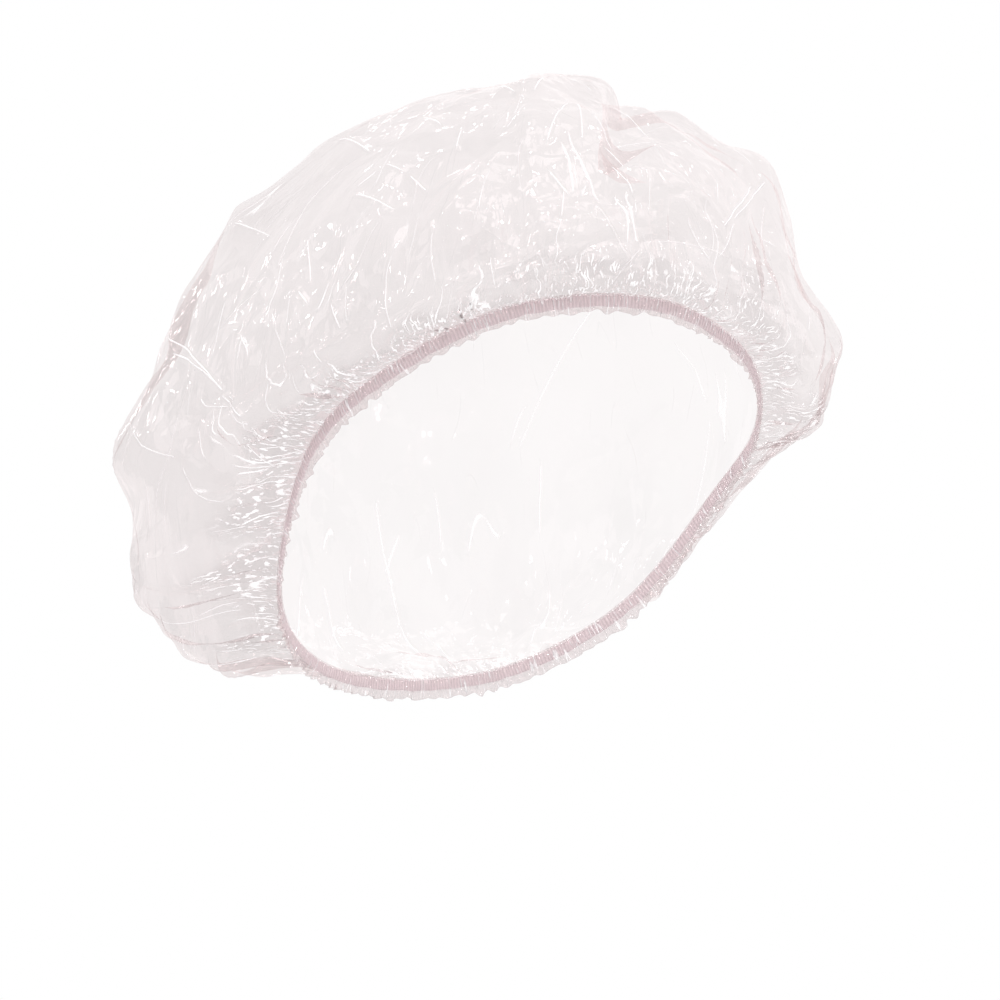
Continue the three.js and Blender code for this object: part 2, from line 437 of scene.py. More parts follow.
def math_node(tree, operation, first, second=0.0, clamp=False):
    return add_node(tree, "ShaderNodeMath", {0: first, 1: second}, operation=operation,
                    use_clamp=clamp).outputs[0]


def chain_nodes(tree, operation, sockets):
    """Joins sockets pair by pair with one operation."""
    total = sockets[0]
    for socket in sockets[1:]:
        total = math_node(tree, operation, total, socket)
    return total


def vector_node(tree, operation, first, second):
    return add_node(tree, "ShaderNodeVectorMath", {0: first, 1: second},
                    operation=operation).outputs["Vector"]


def range_node(tree, value, low, high, to_low, to_high, easing="LINEAR"):
    """Carries a value from one range to another, and stops at its ends."""
    return add_node(tree, "ShaderNodeMapRange",
                    {"Value": value, "From Min": low, "From Max": high, "To Min": to_low,
                     "To Max": to_high}, interpolation_type=easing).outputs["Result"]


def noise_node(tree, vector, scale, detail, dimensions="2D"):
    return add_node(tree, "ShaderNodeTexNoise", {"Vector": vector, "Scale": scale, "Detail": detail},
                    noise_dimensions=dimensions)


def axis_node(tree, vector, axis):
    return add_node(tree, "ShaderNodeSeparateXYZ", {"Vector": vector}).outputs[axis]


def uv_node(tree, name):
    return add_node(tree, "ShaderNodeUVMap", uv_map=name).outputs["UV"]


def new_group(name, vectors, numbers, outputs):
    """Starts a node group. Its vector inputs are names, and its number inputs names with defaults."""
    group = bpy.data.node_groups.new(name, "ShaderNodeTree")
    for label in vectors:
        group.interface.new_socket(name=label, in_out="INPUT", socket_type="NodeSocketVector")
    for label, value in numbers.items():
        socket = group.interface.new_socket(name=label, in_out="INPUT", socket_type="NodeSocketFloat")
        socket.default_value = value
    for label in outputs:
        group.interface.new_socket(name=label, in_out="OUTPUT", socket_type="NodeSocketFloat")
    enter = group.nodes.new("NodeGroupInput")
    leave = group.nodes.new("NodeGroupOutput")
    return group, enter.outputs, leave.inputs


def thin_line(tree, distance, width):
    """A mask that falls from 1 to 0 over a width."""
    return math_node(tree, "SUBTRACT", 1.0, math_node(tree, "DIVIDE", distance, width), clamp=True)


def facet_group():
    """Flat facets that meet in straight creases, as a height in metres."""
    group, enter, leave = new_group("facets", ["Vector"], {"Scale": 60.0, "Slope": 0.1}, ["Height"])
    edge = add_node(group, "ShaderNodeTexVoronoi",
                    {"Vector": enter["Vector"], "Scale": enter["Scale"], "Randomness": 1.0},
                    voronoi_dimensions="2D", feature="DISTANCE_TO_EDGE")
    size = math_node(group, "DIVIDE", edge.outputs["Distance"], enter["Scale"])
    group.links.new(math_node(group, "MULTIPLY", size, enter["Slope"]), leave["Height"])


def streak_group():
    """Thin curved lines: the level line of a noise, shown where another noise is high. On the film
    they are painted white, partly as painted highlights.
    """
    group, enter, leave = new_group("streaks", ["Vector", "Patch Vector"],
                                    {"Scale": 60.0, "Width": 0.03, "Breaks": 0.5, "Patches": 70.0},
                                    ["Lines"])
    level = noise_node(group, enter["Vector"], enter["Scale"], 0.0).outputs["Fac"]
    off = math_node(group, "ABSOLUTE", math_node(group, "SUBTRACT", level, 0.5))
    line = thin_line(group, off, enter["Width"])
    patches = noise_node(group, enter["Patch Vector"], enter["Patches"], 0.0).outputs["Fac"]
    shown = math_node(group, "SUBTRACT", patches, enter["Breaks"])
    shown = math_node(group, "MULTIPLY", shown, 9.0, clamp=True)
    group.links.new(math_node(group, "MULTIPLY", line, shown), leave["Lines"])


def fleck_group():
    """Short white flecks, partly whitening and partly painted highlights: the peaks of a noise."""
    group, enter, leave = new_group("flecks", ["Vector"], {"Scale": 400.0, "Peaks": 0.6}, ["Flecks"])
    level = noise_node(group, enter["Vector"], enter["Scale"], 1.0).outputs["Fac"]
    above = math_node(group, "SUBTRACT", level, enter["Peaks"])
    group.links.new(math_node(group, "MULTIPLY", above, 14.0, clamp=True), leave["Flecks"])


def held_crease_group():
    """Three channels of creases held on the mesh: thin lines as a mask, painted white on the film
    partly as painted highlights, and ridges from 0 to 1.

    A line of strength 0.85 or more shows all along, and one under 0.6 only where Whole is high."""
    group, enter, leave = new_group("held_creases", ["Side", "Strength"],
                                    {"Whole": 1.0, "Width": 0.26, "Ridge Width": 1.6},
                                    ["Lines", "Height"])
    side = add_node(group, "ShaderNodeSeparateXYZ", {"Vector": enter["Side"]})
    strength = add_node(group, "ShaderNodeSeparateXYZ", {"Vector": enter["Strength"]})
    lines = 0.0
    height = 0.0
    for axis in "XYZ":
        distance = math_node(group, "ABSOLUTE", side.outputs[axis])
        strong = strength.outputs[axis]
        firm = math_node(group, "MULTIPLY", math_node(group, "SUBTRACT", strong, 0.6), 4.0)
        kept = math_node(group, "ADD", enter["Whole"], math_node(group, "MAXIMUM", firm, 0.0),
                         clamp=True)
        line = math_node(group, "MULTIPLY", thin_line(group, distance, enter["Width"]), strong)
        lines = math_node(group, "MAXIMUM", lines, math_node(group, "MULTIPLY", line, kept))
        ridge = thin_line(group, distance, enter["Ridge Width"])
        height = math_node(group, "ADD", height, math_node(group, "MULTIPLY", ridge, strong))
    group.links.new(lines, leave["Lines"])
    group.links.new(height, leave["Height"])


def rgb_mix(tree, factor, first, second):
    node = add_node(tree, "ShaderNodeMix", {"Factor": factor}, data_type="RGBA")
    colours = [socket for socket in node.inputs if socket.type == "RGBA"]
    for socket, value in zip(colours, (first, second)):
        if isinstance(value, bpy.types.NodeSocket):
            tree.links.new(value, socket)
        else:
            socket.default_value = (*value, 1)
    return [socket for socket in node.outputs if socket.type == "RGBA"][0]


def group_node(tree, name, inputs):
    return add_node(tree, "ShaderNodeGroup", inputs, node_tree=bpy.data.node_groups[name]).outputs


CLEAR_TINT = (0.992, 0.968, 0.967, 1)  # what one layer of film lets through
EDGE_COVER = 0.09  # how much more the film covers where it is seen edge on
LINE_COVER = 0.5  # how much more it covers along its white lines: partly whitened creases, partly painted highlights
WHITENING_AND_HIGHLIGHT = 3.0  # how quickly a line turns from film to white, as whitening and painted highlight
FILM_ROUGHNESS = 0.07


def film_shader(tree, cover, mask, height, tint, line_white_and_highlight, sheen):
    """See-through film from a cover mask, a crease mask and a height in metres. The crease mask is
    painted white: partly the film's whitening, partly painted highlights along the creases.
    """
    facing = add_node(tree, "ShaderNodeLayerWeight", {"Blend": 0.25}).outputs["Facing"]
    rim = math_node(tree, "MULTIPLY", facing, facing)
    cover = math_node(tree, "ADD", cover, math_node(tree, "MULTIPLY", rim, EDGE_COVER))
    cover = math_node(tree, "ADD", cover, math_node(tree, "MULTIPLY", mask, LINE_COVER), clamp=True)
    bump = add_node(tree, "ShaderNodeBump", {"Height": height, "Strength": 1.0, "Distance": 1.0})
    # along the lines the film turns white and dull: partly whitened film, partly painted highlights
    white = math_node(tree, "MULTIPLY", mask, WHITENING_AND_HIGHLIGHT, clamp=True)
    metal = math_node(tree, "MULTIPLY", math_node(tree, "SUBTRACT", 1.0, white), sheen)
    surface = add_node(tree, "ShaderNodeBsdfPrincipled",
                       {"Base Color": rgb_mix(tree, white, tint, line_white_and_highlight), "Metallic": metal,
                        "Roughness": FILM_ROUGHNESS, "IOR": 1.5, "Normal": bump.outputs["Normal"]})
    clear = add_node(tree, "ShaderNodeBsdfTransparent", {"Color": CLEAR_TINT})
    mix = add_node(tree, "ShaderNodeMixShader",
                   {0: cover, 1: clear.outputs[0], 2: surface.outputs[0]})
    add_node(tree, "ShaderNodeOutputMaterial", {"Surface": mix.outputs[0]})


def new_material(name):
    material = bpy.data.materials.new(name)
    material.use_nodes = True
    material.node_tree.nodes.clear()
    return material


def flat_place(degrees, up, radius):
    """The place on the flat film of a bearing round the head and a share up."""
    angle = math.radians(degrees)
    return np.array((-math.sin(angle), -math.cos(angle))) * (1 - up) * radius


RIDGE_BUMP = 0.0004  # height in m of the bump along a held crease
GATHER_WARMTH = 0.03  # how much green and blue the gathers lack beside the clear film
GATHER_SHADE = 0.94  # and how bright they are beside it


def bag_material(tint, line_white_and_highlight):
    """Clear crumpled film: facets, streaks and long creases, closer together in the gathers."""
    material = new_material("clear_film")
    tree = material.node_tree
    place = uv_node(tree, FLAT_MAP)
    bend = noise_node(tree, place, 26.0, 2.0, "3D").outputs
    shift = vector_node(tree, "SUBTRACT", bend["Color"], (0.5, 0.5, 0.5))
    shift = vector_node(tree, "MULTIPLY", shift, (0.02,) * 3)
    bent = vector_node(tree, "ADD", place, shift)

    # the gathers' patterns are drawn out along the way up from the hem
    worn = uv_node(tree, WORN_MAP)
    drawn = vector_node(tree, "ADD", worn, vector_node(tree, "MULTIPLY", shift, (0.4,) * 3))
    cells = vector_node(tree, "MULTIPLY", drawn, (1, 0.24, 1))
    threads = vector_node(tree, "MULTIPLY", drawn, (1, 0.12, 1))

    # near fades slowly up from the hem, and tight within its first 30 mm
    uneven = math_node(tree, "MULTIPLY", math_node(tree, "SUBTRACT", bend["Fac"], 0.5), 0.06)
    reach = math_node(tree, "ADD", axis_node(tree, worn, "Y"), uneven)
    near = range_node(tree, reach, 0.008, 0.075, 1.0, 0.12, "SMOOTHSTEP")
    tight = range_node(tree, reach, 0.004, 0.03, 1.0, 0.0, "SMOOTHSTEP")

    # the masks below are painted white on the film: partly whitened creases, partly painted
    # highlights
    masks = []
    heights = []
    # facets: how many in a metre, slope, and share
    for vector, scale, slope, share in (
            (bent, 34.0, 0.13, 1.0), (bent, 85.0, 0.09, 1.0), (cells, 120.0, 0.16, 0.5),
            (cells, 240.0, 0.3, near), (cells, 430.0, 0.35, tight)):
        node = group_node(tree, "facets", {"Vector": vector, "Scale": scale, "Slope": slope})
        heights.append(math_node(tree, "MULTIPLY", node["Height"], share))
    # streaks: how many in a metre, width, where they break and how finely, and share
    for scale, width, breaks, fineness, share in (
            (90.0, 0.011, 0.61, 110.0, 0.7), (170.0, 0.022, 0.56, 190.0, near),
            (330.0, 0.032, 0.58, 300.0, tight)):
        node = group_node(tree, "streaks", {"Vector": threads, "Patch Vector": cells, "Scale": scale,
                                            "Width": width, "Breaks": breaks, "Patches": fineness})
        masks.append(math_node(tree, "MULTIPLY", node["Lines"], share))
    node = group_node(tree, "flecks", {"Vector": cells, "Scale": 1400.0, "Peaks": 0.6})
    masks.append(math_node(tree, "MULTIPLY", node["Flecks"], math_node(tree, "MULTIPLY", tight, 0.5)))
    spots = noise_node(tree, place, 60.0, 1.0, "3D").outputs["Fac"]
    whole = range_node(tree, spots, 0.5, 0.62, 0.0, 1.0)
    for half in HALVES:
        side = add_node(tree, "ShaderNodeAttribute", attribute_name=f"crease_side_{half}")
        strength = add_node(tree, "ShaderNodeAttribute", attribute_name=f"crease_strength_{half}")
        node = group_node(tree, "held_creases", {"Side": side.outputs["Vector"], "Whole": whole,
                                                 "Strength": strength.outputs["Vector"]})
        masks.append(node["Lines"])
        heights.append(math_node(tree, "MULTIPLY", node["Height"], RIDGE_BUMP))

    # the film is cloudier in places and in the gathers; it is also cloudier, and so darker, on the
    # wearer's right and clearer on the left, as painted shade and painted light across its sides
    clouds = noise_node(tree, place, 16.0, 3.0, "3D").outputs["Fac"]
    haze_and_side_shade = chain_nodes(tree, "ADD", [
        range_node(tree, clouds, 0.3, 0.7, 0.07, 0.15),
        # cloudier towards the wearer's right, clearer towards the left: painted shade and painted
        # light
        range_node(tree, axis_node(tree, place, "X"), -0.15, 0.12, 0.04, -0.06),
        math_node(tree, "MULTIPLY", near, 0.05), math_node(tree, "MULTIPLY", tight, 0.2)])
    gathered = (tint[0], tint[1] - GATHER_WARMTH, tint[2] - GATHER_WARMTH)
    gathered = rgb_mix(tree, near, tint, [shade * GATHER_SHADE for shade in gathered])
    film_shader(tree, haze_and_side_shade, chain_nodes(tree, "MAXIMUM", masks), chain_nodes(tree, "ADD", heights),
                gathered, line_white_and_highlight, 0.93)
    return material


def hem_material(tint, line_white_and_highlight):
    """The folded film over the elastic: two layers, finely puckered, with streaks across the band
    painted white, partly as painted highlights.
    """
    material = new_material("hem_film")
    tree = material.node_tree
    place = uv_node(tree, FLAT_MAP)
    across = vector_node(tree, "MULTIPLY", place, (1, 0.2, 1))
    facets = group_node(tree, "facets", {"Vector": place, "Scale": 300.0, "Slope": 0.4})
    streaks = group_node(tree, "streaks", {"Vector": across, "Patch Vector": place, "Scale": 200.0,
                                           "Width": 0.05, "Breaks": 0.5, "Patches": 170.0})
    film_shader(tree, 0.25, streaks["Lines"], facets["Height"], tint, line_white_and_highlight, 0.6)
    return material


def elastic_material(colour):
    """Woven elastic strip: mauve grey with fine ribs across it, their hollows painted darker as
    painted shade.
    """
    material = bpy.data.materials.new("elastic")
    material.use_nodes = True
    tree = material.node_tree
    surface = tree.nodes["Principled BSDF"]
    ribs = add_node(tree, "ShaderNodeTexWave",
                    {"Vector": uv_node(tree, FLAT_MAP), "Scale": 260.0, "Distortion": 1.2,
                     "Detail": 1.0}, wave_type="BANDS", bands_direction="X").outputs["Fac"]
    # the ribs' hollows are a fifth darker, following their bump: painted shade
    shade = add_node(tree, "ShaderNodeValToRGB", {"Fac": ribs})
    shade.color_ramp.elements[0].color = (*[c * 0.8 for c in colour], 1)
    shade.color_ramp.elements[1].color = (*colour, 1)
    tree.links.new(shade.outputs["Color"], surface.inputs["Base Color"])
    surface.inputs["Roughness"].default_value = 0.75
    bump = add_node(tree, "ShaderNodeBump", {"Height": ribs, "Strength": 0.5, "Distance": 0.0003})
    tree.links.new(bump.outputs["Normal"], surface.inputs["Normal"])
    return material


# ---------------------------------------------------------------- settings

class CapSizes(bpy.types.PropertyGroup):
    flat_width: bpy.props.FloatProperty(
        name="Flat width", description="Diameter of the film disc before it is gathered",
        default=0.46, unit="LENGTH")
    grid: bpy.props.IntProperty(
        name="Grid", description="Quads along each side of the film's grid", default=296)
    hem_wide: bpy.props.FloatProperty(
        name="Hem width", description="Height of the folded hem", default=0.0048, unit="LENGTH")
    frill: bpy.props.FloatProperty(
        name="Frill", description="Depth of the frill beyond the hem", default=0.0026, unit="LENGTH")
    elastic_wide: bpy.props.FloatProperty(
        name="Elastic width", description="Width of the elastic strip", default=0.0036, unit="LENGTH")
    elastic_thick: bpy.props.FloatProperty(
        name="Elastic thickness", description="Thickness of the elastic strip",
        default=0.0008, unit="LENGTH")
    crumple_high: bpy.props.FloatProperty(
        name="Crumple", description="How steep the film's creases are", default=1.0)


class CapColours(bpy.types.PropertyGroup):
    film: bpy.props.FloatVectorProperty(
        name="Film", description="Tint of the clear film",
        default=(0.86, 0.79, 0.80), subtype="COLOR", size=3)
    # the creases' white stands partly for whitened film and partly for painted highlights along the
    # creases
    crease: bpy.props.FloatVectorProperty(
        name="Crease", description="Colour of whitened creases",
        default=(0.97, 0.96, 0.97), subtype="COLOR", size=3)
    elastic: bpy.props.FloatVectorProperty(
        name="Elastic", description="Colour of the elastic strip",
        default=(0.76, 0.655, 0.68), subtype="COLOR", size=3)


# ---------------------------------------------------------------- creases of the film

# Long creases pressed into the film: degrees round and share up at each end, strength, and ridge
# height in mm.
CREASE_COLUMNS = ("from_deg", "from_up", "to_deg", "to_up", "strength", "high")
LONG_CREASES = (
    (111, 0.51, 87, 0.39, 1.0, 1.2),
    (87, 0.39, 83, 0.25, 1.0, 1.2),
    (83, 0.25, 87, 0.09, 1.0, 1.0),
    (105, 0.48, 88, 0.40, 0.9, 1.0),
    (88, 0.40, 83, 0.20, 1.0, 1.0),
    (83, 0.20, 89, 0.07, 0.9, 0.8),
    (95, 0.41, 86, 0.33, 1.0, 0.8),
    (86, 0.33, 84, 0.18, 0.9, 0.8),
    (89, 0.30, 89, 0.16, 1.0, 0.8),
    (89, 0.16, 93, 0.05, 0.9, 0.6),
    (108, 0.41, 100, 0.31, 0.8, 0.8),
    (100, 0.31, 100, 0.12, 0.8, 0.8),
    (111, 0.23, 116, 0.10, 0.7, 0.6),
    (78, 0.32, 80, 0.12, 0.9, 0.8),
    (88, 0.47, 84, 0.46, 0.9, 0.3),
    (84, 0.46, 80, 0.41, 1.0, 0.4),
    (101, 0.61, 84, 0.52, 0.4, 1.2),
    (84, 0.52, 76, 0.46, 0.4, 1.0),
    (76, 0.46, 73, 0.38, 0.4, 0.8),
    (102, 0.63, 86, 0.59, 0.8, 0.5),
    (86, 0.59, 76, 0.50, 0.6, 0.5),
    (74, 0.47, 73, 0.49, 0.9, 0.2),
    (73, 0.49, 69, 0.45, 0.9, 0.2),
    (66, 0.61, 62, 0.66, 1.0, 0.6),
    (62, 0.66, 55, 0.64, 1.0, 0.6),
    (55, 0.64, 48, 0.59, 1.0, 0.6),
    (66, 0.61, 54, 0.56, 1.0, 0.5),
    (64, 0.78, 51, 0.73, 1.0, 0.5),
    (45, 0.72, 45, 0.66, 0.9, 0.3),
    (98, 0.76, 69, 0.70, 1.0, 0.6),
    (74, 0.57, 70, 0.48, 0.8, 0.3),
    (72, 0.34, 74, 0.24, 1.0, 0.4),
    (72, 0.34, 73, 0.17, 1.0, 0.4),
    (71, 0.32, 67, 0.20, 1.0, 0.4),
    (53, 0.42, 52, 0.26, 1.0, 0.5),
    (65, 0.45, 62, 0.39, 1.0, 0.2),
    (67, 0.36, 66, 0.25, 0.9, 0.3),
    (35, 0.41, 34, 0.27, 0.9, 0.4),
    (42, 0.84, 30, 0.80, 1.0, 0.6),
    (30, 0.80, 28, 0.76, 1.0, 0.4),
    (27, 0.74, 34, 0.68, 1.0, 0.5),
    (15, 0.87, 25, 0.79, 1.0, 0.8),
    (14, 0.76, 24, 0.63, 1.0, 1.0),
    (10, 0.78, 16, 0.62, 0.9, 0.8),
    (12, 0.61, 9, 0.53, 1.0, 0.5),
    (12, 0.56, 8, 0.46, 1.0, 0.6),
    (8, 0.46, 8, 0.41, 1.0, 0.3),
    (0, 0.80, 358, 0.60, 0.8, 0.6),
    (10, 0.59, 351, 0.61, 0.7, 0.3),
    (322, 0.61, 346, 0.45, 1.0, 1.4),
    (346, 0.45, 351, 0.33, 1.0, 0.9),
    (328, 0.60, 350, 0.41, 1.0, 1.0),
    (338, 0.49, 327, 0.48, 1.0, 0.5),
    (358, 0.42, 352, 0.31, 1.0, 0.5),
    (21, 0.54, 22, 0.45, 0.9, 0.3),
    (24, 0.58, 20, 0.51, 0.9, 0.3),
    (330, 0.48, 330, 0.20, 0.7, 0.5),
    (168, 0.05, 176, 0.35, 0.9, 0.8),
    (196, 0.05, 188, 0.40, 0.9, 0.8),
    (236, 0.06, 246, 0.44, 0.9, 1.0),
    (262, 0.05, 268, 0.36, 0.8, 0.8),
    (140, 0.30, 162, 0.62, 0.8, 0.8),
    (162, 0.62, 156, 0.80, 0.8, 0.6),
    (210, 0.42, 240, 0.66, 0.8, 0.8),
    (240, 0.66, 262, 0.60, 0.8, 0.6),
    (270, 0.50, 284, 0.66, 0.8, 0.6),
)

# Crumpling of the film: spacing of the creases' ends in mm, their height in mm, seed,
# strength of the lines along the sharpest creases, and the share of creases that get a line.
CRUMPLE_COLUMNS = ("spacing", "high", "seed", "lines", "shown")
CRUMPLES = (
    (46, 2.0, 11, 0.5, 0.3),
    (24, 1.2, 12, 0.45, 0.2),
    (11, 0.5, 13, 0.4, 0.06),
)
# The same for the creases drawn up from the hem, with how many times longer than wide they are, and
# the reaches in mm from the hem where they start and end.
DRAWN_COLUMNS = CRUMPLE_COLUMNS + ("longer", "start", "end")
DRAWN = (
    (17, 1.5, 21, 0.6, 0.15, 2.8, 10, 190),
    (8, 0.6, 22, 0.6, 0.12, 3.0, 5, 120),
    (4.6, 0.22, 23, 0.5, 0.05, 2.6, 2, 50),
)
RIM_WORN = 520.0  # mm that one turn takes up on the worn map
SEAM_FADE = 0.03  # the turn on either side of the back in which the drawn creases fade
CRUMPLE_GROWS = 36.0  # mm up from the hem in which the crumples grow to their full height
CRUMPLE_INSET = 3.0  # mm the film moves in to make room for them


def sheet_warp(flat):
    """A gentle shift in mm of each place on the flat film, which bends its creases."""
    x, y = flat.T
    return 2.5 * np.stack([np.sin(y / 17 + 1.3) + np.sin(x / 29),
                           np.sin(x / 19 + 0.4) + np.sin(y / 31)], axis=1)


def hold_long_creases(lines, flat, radius):
    for crease in named_rows(CREASE_COLUMNS, LONG_CREASES):
        lines.add(flat, flat_place(crease["from_deg"], crease["from_up"], radius),
                  flat_place(crease["to_deg"], crease["to_up"], radius),
                  crease["strength"], crease["high"])


def drawn_lift(lines, sweep, reach):
    """The height in mm of the creases drawn up from the hem. Their lines are held too."""
    lift = np.zeros(len(reach))
    for layer in named_rows(DRAWN_COLUMNS, DRAWN):
        stretch = (1, layer["longer"])
        height, creases = crease_net(sweep / stretch, layer["spacing"], layer["high"],
                                     layer["seed"], RIM_WORN * 0.6)
        middle = (layer["start"] + layer["end"]) / 2
        half = (layer["end"] - layer["start"]) / 2
        lift += height * np.clip(1.3 - 1.3 * np.abs(reach - middle) / half, 0, 1)
        for start, end, strength in sharpest(creases, layer):
            start, end = start * stretch, end * stretch
            if layer["start"] < start[1] and end[1] < layer["end"]:
                lines.add(sweep, start, end, strength)
    return lift


def crumple_lift(lines, bent, radius):
    """The height in mm of the crumples all over the film. Their lines are held too."""
    lift = np.zeros(len(bent))
    for layer in named_rows(CRUMPLE_COLUMNS, CRUMPLES):
        height, creases = crease_net(bent, layer["spacing"], layer["high"], layer["seed"],
                                     radius * 1.05)
        lift += height
        for start, end, strength in sharpest(creases, layer):
            if max(math.hypot(*start), math.hypot(*end)) < radius * 0.8:
                lines.add(bent, start, end, strength)
    return lift


# ---------------------------------------------------------------- operators

class CAP_OT_film_bag(bpy.types.Operator):
    """Make the clear film bag with its folds, crumples and gathers"""
    bl_idname = "shower_cap.film_bag"
    bl_label = "Film Bag"

    def execute(self, context):
        sizes = context.scene.cap_sizes
        colours = context.scene.cap_colours
        obj = grid_object("film", sizes.grid, sizes.grid)
        mesh = obj.data
        disc = disc_from_square(read_points(mesh)[:, :2])
        radius = sizes.flat_width / 2 / MM
        flat = disc * radius
        share = 1 - np.minimum(np.linalg.norm(disc, axis=1), 1)
        turn = turn_of(disc)
        base = smooth_bag(turn, share)
        base += unit(base - BAG_CENTRE) * fold_rise(base, share)[:, None]
        write_points(mesh, base * MM)
        finish_mesh(obj, BAG_CENTRE * MM)
        if len(mesh.vertices) != len(base):
            raise RuntimeError("the film's grid lost vertices")
        normal = read_normals(mesh)

        reach = worn_reach(turn, share)
        around = np.mod(turn + 0.5, 1) - 0.5
        worn = np.stack([around * RIM_WORN, reach], axis=1)
        warp = sheet_warp(flat)
        lines = CreaseLines(len(flat))
        hold_long_creases(lines, flat, radius)
        seam = np.clip((0.5 - np.abs(around)) / SEAM_FADE, 0, 1)
        lift = drawn_lift(lines, worn + warp * 0.6, reach) * seam
        grown = np.clip(reach / CRUMPLE_GROWS, 0, 1)
        lift += sizes.crumple_high * grown * crumple_lift(lines, flat + warp, radius)
        lift += lines.ridge + pleat_rise(turn, reach) - CRUMPLE_INSET * grown
        write_points(mesh, (base + normal * lift[:, None]) * MM)

        for half, first in HALVES.items():
            set_vectors(mesh, f"crease_side_{half}", lines.side[:, first:first + 3])
            set_vectors(mesh, f"crease_strength_{half}", lines.strength[:, first:first + 3])
        set_uv(mesh, flat * MM)
        set_uv(mesh, worn * MM, WORN_MAP, RIM_WORN * MM)
        mesh.materials.append(bag_material(colours.film, colours.crease))
        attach(obj, BODY)
        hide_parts("film_bag")
        return {"FINISHED"}


HEM_GRID = (1200, 22)  # quads round the head, and round the hem's section
HEM_RIBS = 260  # puckers round the head
HEM_RIPPLES = 130  # waves of the frill round the head
HEM_MAP = (1.44, 0.016)  # m on its map for one turn, and once round the section


class CAP_OT_hem(bpy.types.Operator):
    """Make the folded hem with its puckers and its frill"""
    bl_idname = "shower_cap.hem"
    bl_label = "Hem"

    def execute(self, context):
        sizes = context.scene.cap_sizes
        colours = context.scene.cap_colours
        obj = grid_object("hem", *HEM_GRID)
        mesh = obj.data
        turn, way = (read_points(mesh)[:, :2].T + 1) / 2
        half = sizes.hem_wide / 2 / MM
        frill = sizes.frill / MM
        thick = sizes.elastic_thick / MM
        # way runs 0 to 0.4 down the outside, to 0.6 round the frill's edge, and to 1 up the inside
        outside = np.clip(way / 0.4, 0, 1)
        inside = np.clip((way - 0.6) / 0.4, 0, 1)
        edge = np.clip((way - 0.4) / 0.2, 0, 1)
        face = np.clip(np.cos(turn * 2 * math.pi) * 1.6, 0, 1)
        depth = half + frill * (0.9 - 0.55 * face + wander(turn, 5, 130, 0.15))
        up = half - (half + depth) * outside + (half + depth) * inside
        bow = thick * 0.9 * np.sqrt(np.clip(1 - (up / half) ** 2, 0, 1))
        side = np.where(way < 0.5, 1.0, -1.0)
        out = side * (bow + 0.16 * np.cos(math.pi * np.clip((edge - 0.5) * side * 2, 0, 1) / 2))
        ribs = sharp_wave(turn * HEM_RIBS + wander(turn, 7, 60, 0.6))
        below = np.clip((-up - half * 0.6) / (frill + half * 0.4), 0, 1)
        waves = sharp_wave(turn * HEM_RIPPLES + wander(turn, 8, 60, 0.7))
        ripple = (wander(turn, 9, 220, 0.6) + 0.35 * waves) * below
        out = out + side * 0.09 * ribs * (np.abs(up) < half) + ripple
        write_points(mesh, rim_point(turn, out, up) * MM)
        set_uv(mesh, np.stack([turn, way], axis=1) * HEM_MAP)
        finish_mesh(obj, (0, 0, 0))
        mesh.materials.append(hem_material(colours.film, colours.crease))
        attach(obj, BODY)
        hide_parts("hem_fold")
        return {"FINISHED"}


ELASTIC_GRID = (1000, 20)  # quads round the head, and round the strip
ELASTIC_RIBS = 250  # ribs round the head
ELASTIC_MAP = (0.56, 0.0012)  # m on its map for one turn, and for a radian round the strip


class CAP_OT_elastic(bpy.types.Operator):
    """Make the elastic strip inside the hem"""
    bl_idname = "shower_cap.elastic"
    bl_label = "Elastic"

    def execute(self, context):
        sizes = context.scene.cap_sizes
        colours = context.scene.cap_colours
        obj = grid_object("elastic", *ELASTIC_GRID)
        mesh = obj.data
        square = read_points(mesh)
        turn = (square[:, 0] + 1) / 2
        round_way = (square[:, 1] + 1) * math.pi
        wide = sizes.elastic_wide / 2 / MM
        thick = sizes.elastic_thick / 2 / MM
        ribs = 1 + 0.08 * np.cos(turn * 2 * math.pi * ELASTIC_RIBS)
        across, along = np.cos(round_way), np.sin(round_way)
        out = np.sign(across) * np.abs(across) ** 0.35 * thick * ribs
        up = np.sign(along) * np.abs(along) ** 0.6 * wide + wander(turn, 31, 80, 0.12)
        write_points(mesh, rim_point(turn, out, up) * MM)
        set_uv(mesh, np.stack([turn, round_way], axis=1) * ELASTIC_MAP)
        finish_mesh(obj, (0, 0, 0))
        mesh.materials.append(elastic_material(colours.elastic))
        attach(obj, BODY)
        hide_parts("elastic_loop")
        return {"FINISHED"}


def area_light(name, place, target, size, watts):
    data = bpy.data.lights.new(name, "AREA")
    data.shape = "RECTANGLE"
    data.size, data.size_y = size
    data.energy = watts
    lamp = bpy.data.objects.new(name, data)
    lamp.location = place
    lamp.rotation_euler = (target - place).to_track_quat("-Z", "Y").to_euler()
    lamp.visible_camera = False
    bpy.context.scene.collection.objects.link(lamp)


